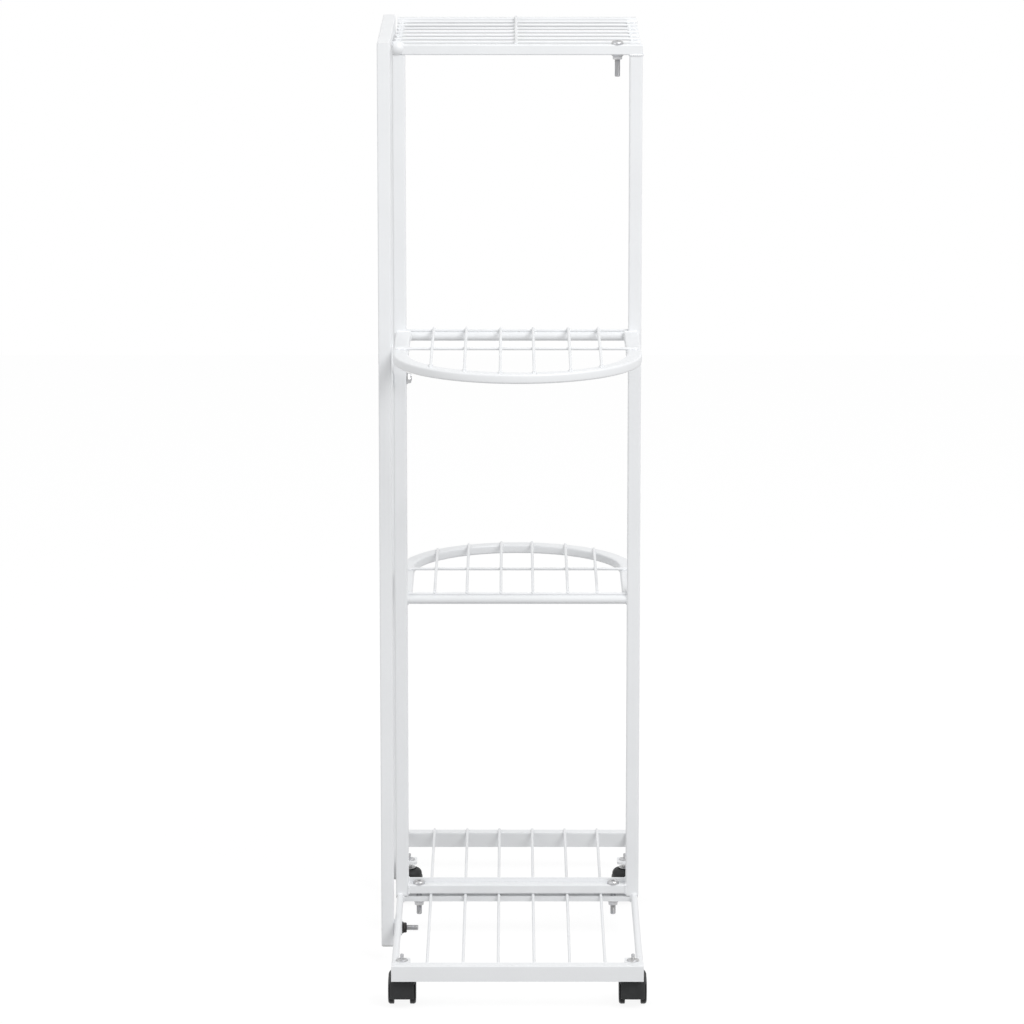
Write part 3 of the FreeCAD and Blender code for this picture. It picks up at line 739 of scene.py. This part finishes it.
class CART_OT_spots(bpy.types.Operator):
    """Put the spot welds where wires cross what carries them"""

    bl_idname = "cart.spots"
    bl_label = "Wire welds"

    def execute(self, context):
        spots = self.base() + self.trays() + self.shelf() + self.feet() + self.tabs()
        add_piece("spot_welds", spots, coat_material(), "frame")
        return {"FINISHED"}

    def at(self, x, y, z, reach_x, reach_y, reach_z):
        """Spot weld at a place in metres, with its half sizes in millimetres."""
        return nugget(np.array([x, y, z]), MM * np.array([reach_x, reach_y, reach_z]))

    def base(self):
        """Each deck wire at the front flange, on the rear flange, and over the cross strip."""
        front, rear = corners("base_front_angle"), corners("base_rear_angle")
        strip = corners("base_cross_strip")
        z = middle("base_deck_wires")[2]
        out = []
        for x in WIRES_BASE:
            out.append(self.at(x, front[1][1], z + 0.0002, 1.9, 1.7, 1.3))
            for y in (rear[0][1] + 0.0022, rear[0][1] + 0.0062):
                out.append(self.at(x, y, rear[1][2] + 0.0003, 2.0, 1.4, 0.9))
            for y in (strip[0][1], strip[1][1]):
                out.append(self.at(x, y, strip[1][2] + 0.0003, 1.9, 1.2, 1.0))
        return out

    def trays(self):
        """Each depth wire on the hoop and on the cross wires, and the mid wire on the sides."""
        out = []
        for tier, sign in (("tier2", 1), ("tier3", -1)):
            lo, hi = corners(tier + "_hoop")
            face = lo[1] if sign > 0 else hi[1]
            back = middle(tier + "_back_bar")[1]
            mid = face + sign * TRAY_MID
            radius = (hi[0] - lo[0]) / 2
            straight = (hi[1] - lo[1]) - radius
            top = hi[2]
            for x in WIRES_TRAY:
                for inset in HOOP_END_WELDS:
                    y = straight + math.sqrt((radius - inset) ** 2 - (x - CENTRE_X) ** 2)
                    out.append(self.at(x, face + sign * y, top + 0.0003, 1.9, 1.5, 0.9))
                out.append(self.at(x, back, top + 0.0010, 1.7, 1.7, 1.3))
                out.append(self.at(x, mid, top + 0.0019, 1.6, 1.6, 1.2))
            for edge, inward in ((lo[0], 1), (hi[0], -1)):
                for inset in HOOP_SIDE_WELDS:
                    out.append(self.at(edge + inward * inset, mid, top + 0.0003, 1.5, 1.9, 0.9))
        return out

    def shelf(self):
        """Each cross wire on both rails, and the middle wire on the bars and the wires."""
        left, right = corners("shelf_left_rail"), corners("shelf_right_rail")
        front, rear = corners("shelf_front_bar"), corners("shelf_rear_bar")
        wires = corners("shelf_cross_wires")
        x = CENTRE_X - 0.0011
        out = []
        for y in np.linspace(wires[0][1] + WIRE_R, wires[1][1] - WIRE_R, SHELF_WIRES):
            for rail_x in (left[0][0] + 0.0018, left[1][0] - 0.0018, right[0][0] + 0.0013,
                           right[1][0] - 0.0021):
                out.append(self.at(rail_x, y, left[1][2] - 0.0001, 1.5, 1.9, 0.9))
            out.append(self.at(x, y, wires[1][2] - 0.0003, 1.5, 1.5, 1.0))
        for y in (front[1][1] - 0.0012, rear[0][1] + 0.0012):
            out.append(self.at(x, y, front[1][2] + 0.0001, 1.9, 1.7, 0.8))
        return out

    def feet(self):
        """Front and back of each post's foot, where it straddles the side rod."""
        out = []
        for post, rod in (("post_left", "base_side_rod_left"),
                          ("post_right", "base_side_rod_right")):
            lo, hi = corners(post)
            x, top = middle(rod)[0], corners(rod)[1][2]
            for y in (lo[1], hi[1]):
                out.append(self.at(x, y, top - 0.0004, 3.1, 1.5, 1.6))
        return out

    def tabs(self):
        """Both ends of each caster tab on its rod, the rods' ends and the lug on the left rod."""
        out = []
        tab_z = middle("caster_tabs")[2]
        for tag in CASTERS:
            stem = joint_place("caster_" + tag + "_swivel")
            rod = "base_side_rod_left" if tag[1] == "l" else "base_side_rod_right"
            inward = 1 if tag[1] == "l" else -1
            x = middle(rod)[0] + inward * 0.0028
            out.append(self.at(x, stem[1] + 0.0088, tab_z, 1.1, 1.9, 1.3))
            end = stem[1] - (0.0058 if tag[0] == "f" else 0.0088)
            out.append(self.at(x, end, tab_z, 1.1, 1.9, 1.3))
        for rod in ("base_side_rod_left", "base_side_rod_right"):
            lo, hi = corners(rod)
            for y in (lo[1] + 0.0088, hi[1] - 0.0004):
                out.append(self.at((lo[0] + hi[0]) / 2, y, ROD_END_Z, 2.9, 1.4, 1.7))
        lo, hi = corners("panel_lower_lug")
        rod_x = middle("base_side_rod_left")[0]
        for y in (lo[1], hi[1]):
            out.append(self.at(rod_x, y, LUG_WELD_Z, 3.0, 1.2, 2.2))
        return out


def joint_place(name):
    """The point that a joint turns about."""
    return np.array(next(j["pos_m"] for j in frame["joints"] if j["name"] == name))


class CART_OT_screws(bpy.types.Operator):
    """Cut the screws, flange nuts, caster stems and retainers"""

    bl_idname = "cart.screws"
    bl_label = "Screws and nuts"

    def execute(self, context):
        pitch = context.scene.cart_shapes.pitch_m5
        zinc = zinc_material()
        bar_top = corners("foot_crossbar")[1][2]
        strip_under = corners("base_cross_strip")[0][2]
        bolts = corners("foot_bolts")
        y = (bolts[0][1] + bolts[1][1]) / 2
        sides = (bolts[0][0] + BUTTON_R, bolts[1][0] - BUTTON_R)
        length = bar_top - bolts[0][2]
        screws = [button_screw(np.array([x, y, bar_top]), Z, length, pitch) for x in sides]
        add_piece("foot_bolts_threaded", screws, zinc, "frame", ["foot_bolts"])
        nuts = [flange_nut(np.array([x, y, strip_under]), -Z) for x in sides]
        add_piece("foot_flange_nuts", nuts, zinc, "frame", ["foot_nuts"])

        shelf_lo, shelf_hi = corners("shelf_front_bar")
        x, y, _ = middle("shelf_bolt")
        length = shelf_hi[2] - corners("shelf_bolt")[0][2]
        screw = button_screw(np.array([x, y, shelf_hi[2]]), Z, length, pitch)
        add_piece("shelf_bolt_threaded", [screw], zinc, "frame", ["shelf_bolt"])
        nut = flange_nut(np.array([x, y, shelf_lo[2]]), -Z)
        add_piece("shelf_flange_nut", [nut], zinc, "frame", ["shelf_nut"])

        ends = corners("panel_screws")
        face = ends[0][0]
        low, high = corners("panel_nuts")
        tips = (ends[1][0], high[0] + 0.0005)
        spots = [np.array([face, low[1] + NUT_FLANGE_R, low[2] + NUT_FLANGE_R]),
                 np.array([face, high[1] - NUT_FLANGE_R, high[2] - NUT_FLANGE_R])]
        screws = [flat_screw(spot, -X, tip - face, pitch) for spot, tip in zip(spots, tips)]
        add_piece("panel_screws_threaded", screws, zinc, "frame", ["panel_screws"])
        seats = [corners("panel_lower_lug")[1][0], corners("post_left")[1][0]]
        # the lower nut gets the near black material as painted shade and dark reflection; the upper nut stays zinc
        for name, seat, spot, finish in (("lower", seats[0], spots[0], painted_shade_nut_material()),
                                         ("upper", seats[1], spots[1], zinc)):
            nut = flange_nut(np.array([seat, spot[1], spot[2]]), X)
            add_piece("panel_" + name + "_flange_nut", [nut], finish, "frame",
                      ["panel_nuts"])

        tab_lo, tab_hi = corners("caster_tabs")
        foot, top = corners("caster_stems")[0][2], corners("caster_stems")[1][2]
        stems, discs = [], []
        for tag in CASTERS:
            x, y, _ = joint_place("caster_" + tag + "_swivel")
            stems.append(self.stem(np.array([x, y, 0.0]), foot, tab_lo[2], top))
            discs.append(self.retainer(np.array([x, y, tab_hi[2]])))
        add_piece("caster_stems_turned", stems, zinc, "frame", ["caster_stems"])
        add_piece("caster_push_retainers", discs, zinc, "frame", ["caster_retainers"])
        return {"FINISHED"}

    def retainer(self, seat):
        """Push-on disc: a thin round plate that rises in a low cone to eight gripping teeth."""
        count = 64
        ring = np.ones(count)
        teeth = 1 + 0.10 * np.maximum(0, np.cos(8 * np.arange(count) * TURN / count))
        loops = [(0.00165 * ring, 0.0), (0.0051 * ring, 0.0), (0.0052 * ring, 0.0002),
                 (0.0052 * ring, 0.0008), (0.0050 * ring, 0.0011), (0.0047 * ring, 0.0012),
                 (0.0031 * ring, 0.0012), (0.0025 * ring, 0.0016), (0.0021 * teeth, 0.0018),
                 (0.00165 * ring, 0.0017)]
        rr = np.array([r for r, _ in loops])
        hh = np.array([h * ring for _, h in loops])
        return skin(revolve(rr, hh, seat, Z, count), ring=True)

    def stem(self, foot_point, foot, tab, top):
        """Caster stem: a plain pin, a thin collar, a neck up to the tab, a grooved end."""
        seat = tab - 0.0050
        profile = [(0.0017, foot), (0.0020, foot + 0.0003), (0.0020, seat), (0.0056, seat),
                   (0.0058, seat + 0.0002), (0.0058, seat + 0.0007), (0.0055, seat + 0.0010),
                   (0.0026, seat + 0.0010), (0.0026, tab), (0.0016, tab), (0.0016, top - 0.0033),
                   (0.0014, top - 0.0031), (0.0014, top - 0.0025), (0.0016, top - 0.0023),
                   (0.0016, top - 0.0005), (0.0012, top - 0.0001), (0.0008, top)]
        r, h = np.array(profile).T
        return skin(revolve(r, h, foot_point, Z, 32))


class CART_OT_corner(bpy.types.Operator):
    """Cast the ball corner of the top shelf"""

    bl_idname = "cart.corner"
    bl_label = "Corner ball"

    def execute(self, context):
        """A ball whose points beyond the side panel are brought back to its face."""
        lo, hi = corners("shelf_corner_ball")
        r = (hi[2] - lo[2]) / 2
        centre = np.array([hi[0] - r, (lo[1] + hi[1]) / 2, (lo[2] + hi[2]) / 2])
        points, quads, tris = nugget(centre, np.full(3, r), 31, 48)
        points[:, 0] = np.maximum(points[:, 0], lo[0])
        add_piece("corner_ball_cast", [(points, quads, tris)], coat_material(), "frame",
                  ["shelf_corner_ball"])
        return {"FINISHED"}


class CART_OT_plugs(bpy.types.Operator):
    """Press the plastic plugs into the panel's legs"""

    bl_idname = "cart.plugs"
    bl_label = "Foot plugs"

    def execute(self, context):
        bottom = corners("panel_foot_plugs")[0][2]
        plugs = []
        for leg in ("panel_near_leg", "panel_far_leg"):
            lo, hi = corners(leg)
            plugs.append(self.plug((lo + hi) / 2, hi[0] - lo[0], bottom, lo[2]))
        add_piece("panel_plugs_moulded", plugs, plug_material(), "frame",
                  ["panel_foot_plugs"])
        return {"FINISHED"}

    def plug(self, centre, width, bottom, rim):
        """Rounded squares stacked up: a crowned foot, a straight lip, then ribs in the tube."""
        heights = [0.0, 0.0002, 0.0006, 0.0011]
        insets = [0.0012, 0.0006, 0.0002, 0.0]
        rows = [(width - 2 * i, bottom + h) for i, h in zip(insets, heights)]
        rows += [(width, rim), (width - 0.0026, rim)]
        for k in range(4):
            z = rim + 0.0003 + 0.0015 * k
            rows += [(width - 0.0026, z), (width - 0.0032, z + 0.0008)]
        loops = []
        for w, z in rows:
            loop = rounded_rect(w, w, 0.0014, 4) + centre[:2]
            loops.append(np.column_stack([loop, np.full(len(loop), z)]))
        return skin(np.array(loops))


class CART_OT_casters(bpy.types.Operator):
    """Mould the four casters: a hood and two wheels each"""

    bl_idname = "cart.casters"
    bl_label = "Casters"

    def execute(self, context):
        self.spokes = context.scene.cart_shapes.spokes
        for tag in CASTERS:
            name = "caster_" + tag
            stem = joint_place(name + "_swivel")
            axle = middle(name + "_axle")
            add_piece(name + "_hood_moulded", self.hood(name, stem, axle), hood_material(),
                      name, [name + "_hood"])
            for side, sign in (("l", -1), ("r", 1)):
                part = name + "_wheel_" + side
                add_piece(part + "_moulded", [self.wheel(part, axle, sign)], wheel_material(),
                          part + "_body", [part])
        return {"FINISHED"}

    def wheel(self, part, axle, sign):
        """Surface of revolution about the axle, from the bore over the tread to the hub cap.

        The face between rim and hub sinks by 0.35 mm times a cosine of the angle."""
        lo, hi = corners(part)
        r = (hi[2] - lo[2]) / 2
        inner = abs((lo if sign > 0 else hi)[0] - axle[0])
        outer = abs((hi if sign > 0 else lo)[0] - axle[0])
        turn = np.linspace(0, math.pi / 2, 7)
        shoulder = np.stack([outer - 0.0022 * (1 - np.sin(turn)),
                             r - 0.0022 * (1 - np.cos(turn))], -1)
        profile = [(outer - 0.0010, 0.00155), (inner, 0.00155), (inner, r - 0.0007),
                   (inner + 0.0002, r - 0.0002), (inner + 0.0007, r),
                   (inner + 0.0015, r), (inner + 0.0017, r - 0.00015),
                   (inner + 0.0019, r), *shoulder.tolist(), (outer, 0.0094),
                   (outer - 0.0002, 0.0089), (outer - 0.0006, 0.0086), (outer - 0.0007, 0.0080),
                   (outer - 0.0007, 0.0066), (outer - 0.0007, 0.0052), (outer - 0.0006, 0.0042),
                   (outer - 0.0004, 0.0038), (outer - 0.0001, 0.0035), (outer, 0.0031),
                   (outer, 0.0018)]
        profile = np.array(profile)
        count = 72
        sink = np.clip(1 - np.abs(profile[:, 1] - 0.0066) / 0.0016, 0, 1)
        sink *= profile[:, 0] > inner + 0.002
        a = np.arange(count) * TURN / count
        dimple = np.maximum(0, np.cos(self.spokes * a)) ** 0.5
        h = profile[:, :1] - 0.00035 * sink[:, None] * dimple[None]
        r = np.repeat(profile[:, 1:], count, 1)
        return skin(revolve(r, h, axle, sign * X, count))

    def hood(self, name, stem, axle):
        """The hood's walls; radius is that of the cover over the wheels."""
        lo, hi = corners(name + "_hood")
        top, bottom, radius = hi[2], lo[2], hi[1] - axle[1]
        return [self.web(axle, bottom, radius), self.fender(axle, radius),
                self.dome(stem, axle, (hi[0] - lo[0]) / 2, top, radius),
                self.apron(stem, bottom)]

    def web(self, axle, bottom, radius, half=0.0064):
        """Wall between the wheels: the loop is a circle cut by the bottom line.

        Its radius is the smaller of the circle's and of the drop over the sine of the angle."""
        count = 72
        a = np.arange(count) * TURN / count
        drop = (axle[2] - bottom) / np.maximum(-np.sin(a), 1e-3)
        x = np.array([-1, -0.97, -0.9, 0.9, 0.97, 1]) * half
        inset = np.array([0.0004, 0.0001, 0, 0, 0.0001, 0.0004])
        r = np.minimum(radius, drop)[None] - inset[:, None]
        rows = np.stack([np.broadcast_to(x[:, None], r.shape), r * np.cos(a), r * np.sin(a)], -1)
        return skin(axle + rows)

    def fender(self, axle, radius, half=0.0109, wall=0.0009):
        """Arched cover: a thin rounded strip carried on an arc over the wheels' tops."""
        arc = radius - wall / 2
        a = np.linspace(math.radians(20), math.radians(135), 48)
        path = axle + arc * np.stack([0 * a, np.cos(a), np.sin(a)], -1)
        out = unit(path - axle)
        section = rounded_rect(2 * half, wall, 0.0004, 3)
        return skin(path[:, None] + section[None, :, :1] * X + section[None, :, 1:] * out[:, None])

    def dome(self, stem, axle, deep, top, radius, clear=0.0078):
        """Stem housing: round loops from the cover up to a rounded shoulder.

        Its foot follows the cover's middle line, the root of radius squared less y squared,
        but never lower than clear over the axle; the shoulder is a quarter circle."""
        shoulder, count = 0.0050, 72
        a = np.arange(count) * TURN / count
        loop = deep * np.stack([np.cos(a), np.sin(a)], -1)
        t = np.linspace(0, math.pi / 2, 11)
        start = top - shoulder
        scale = np.concatenate([[0.02, 0.3, 0.6, 0.85, 1.0, 1.0, 1.0],
                                1 - shoulder * (1 - np.cos(t)) / deep, [0.5, 0.48, 0.28, 0.26]])
        flat = scale[:, None, None] * loop[None]
        arc = radius - 0.0005
        run = flat[:, :, 1] + stem[1] - axle[1]
        foot = axle[2] + np.sqrt(np.maximum(clear**2, arc**2 - run**2))
        rise = np.concatenate([[0.0] * 5, [0.4, 0.8], np.ones(15)])[:, None]
        lift = np.concatenate([[0.0] * 7, shoulder * np.sin(t), [0.0, -0.0003, -0.0003, -0.0008]])
        height = foot + (start - foot) * rise + lift[:, None]
        return skin(np.concatenate([flat + stem[:2], height[..., None]], -1))

    def apron(self, stem, bottom, half=0.0088, deep=0.0115, top=0.0245, wall=0.0038):
        """Front skirt between the wheels' outer edges: a rounded strip on edge.

        It bows back by 0.3 mm times the square of its place across, and turns in at the ends."""
        x = np.linspace(-1, 1, 33)
        back = 0.0003 * x**2 + 0.0012 * np.clip((np.abs(x) - 0.82) / 0.18, 0, 1) ** 2
        path = np.stack([stem[0] + x * half, stem[1] - deep + wall / 2 + back,
                         np.full(33, (top + bottom) / 2)], -1)
        return sweep(path, rounded_rect(wall, top - bottom, 0.0012, 4))


CLASSES = (CartFinish, CartShapes, CartStage, CART_OT_stage, CART_OT_paint, CART_OT_hoops,
           CART_OT_welds, CART_OT_spots, CART_OT_screws, CART_OT_corner, CART_OT_plugs,
           CART_OT_casters)


class CART_PT_panel(bpy.types.Panel):
    """Lists the steps that dress the cart"""

    bl_idname = "CART_PT_panel"
    bl_label = "Flower cart stand"
    bl_space_type = "VIEW_3D"
    bl_region_type = "UI"
    bl_category = "Flower cart"

    def draw(self, context):
        for cls in CLASSES:
            if issubclass(cls, bpy.types.Operator):
                self.layout.operator(cls.bl_idname)
        for group in (context.scene.cart_finish, context.scene.cart_shapes,
                      context.scene.cart_stage):
            box = self.layout.box()
            for key in group.__annotations__:
                box.prop(group, key)


def register():
    for cls in CLASSES + (CART_PT_panel,):
        bpy.utils.register_class(cls)
    bpy.types.Scene.cart_finish = PointerProperty(type=CartFinish)
    bpy.types.Scene.cart_shapes = PointerProperty(type=CartShapes)
    bpy.types.Scene.cart_stage = PointerProperty(type=CartStage)


def unregister():
    del bpy.types.Scene.cart_stage
    del bpy.types.Scene.cart_shapes
    del bpy.types.Scene.cart_finish
    for cls in reversed(CLASSES + (CART_PT_panel,)):
        bpy.utils.unregister_class(cls)


def main():
    register()
    bpy.ops.cart.stage()
    bpy.ops.cart.paint()
    bpy.ops.cart.hoops()
    bpy.ops.cart.welds()
    bpy.ops.cart.spots()
    bpy.ops.cart.screws()
    bpy.ops.cart.corner()
    bpy.ops.cart.plugs()
    bpy.ops.cart.casters()


if __name__ == "__main__":
    main()
